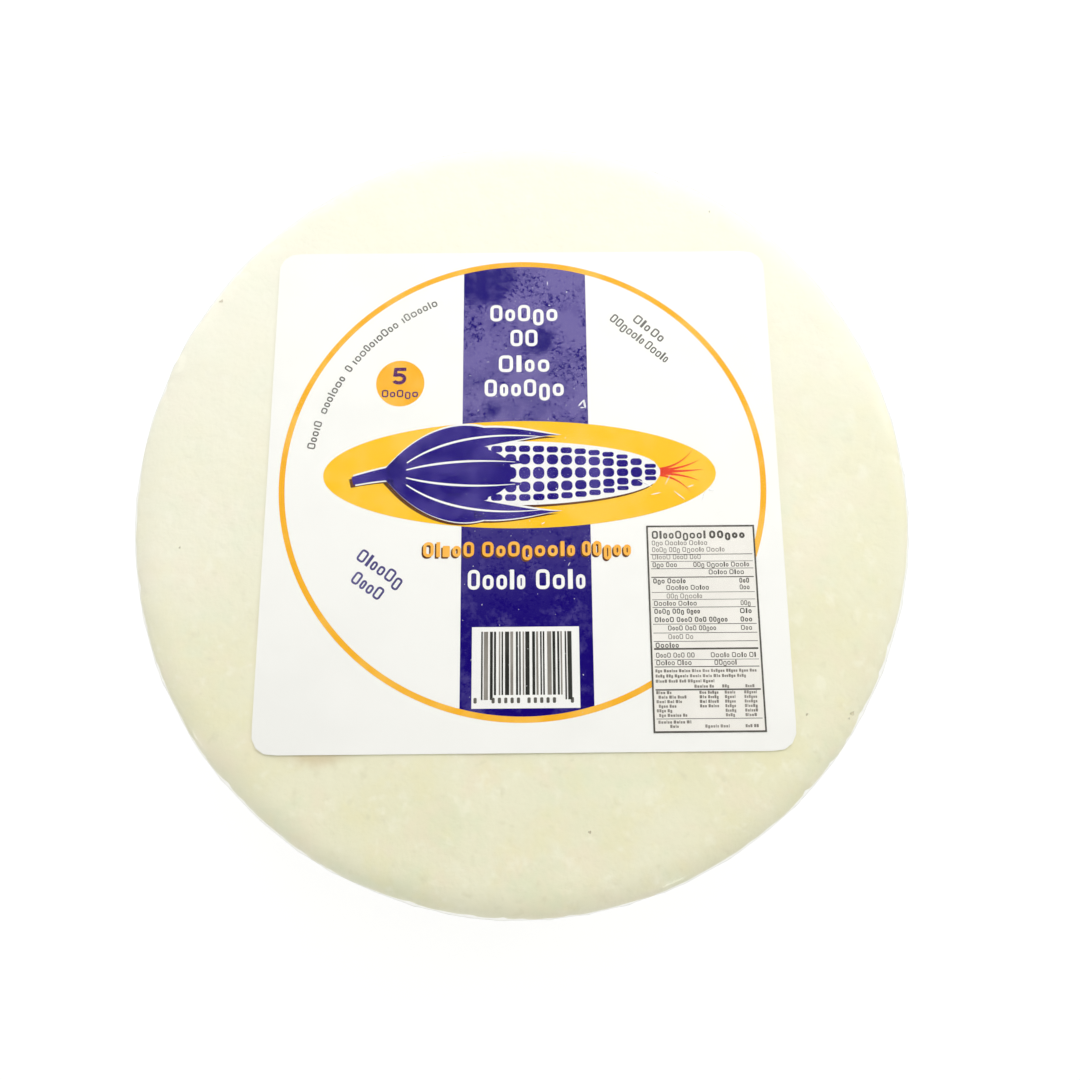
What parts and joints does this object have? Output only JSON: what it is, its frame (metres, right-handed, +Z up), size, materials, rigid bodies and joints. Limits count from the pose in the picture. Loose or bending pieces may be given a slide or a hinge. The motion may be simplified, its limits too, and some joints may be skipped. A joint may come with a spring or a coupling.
{
  "type": "arepa corn cake pack",
  "caption": "Stack of flat round white-corn arepas in snug clear film, with a square label on top.",
  "frame": {"origin": "centre of the pack's flat underside", "axes": "+Z up through the label's face, -Y towards the label's lower edge, +X to the label's right"},
  "size_m": [0.1606, 0.1612, 0.039],
  "materials": {
    "arepa": "moist matte white-corn dough, stands in for food",
    "label": "smooth white coated card with printed fields of colour",
    "film": "thin clear glossy plastic film"
  },
  "bodies": {
    "root": {"arepa_1": "arepa", "arepa_2": "arepa", "arepa_3": "arepa", "arepa_4": "arepa", "arepa_5": "arepa", "label": "label", "film": "film"}
  },
  "joints": []
}
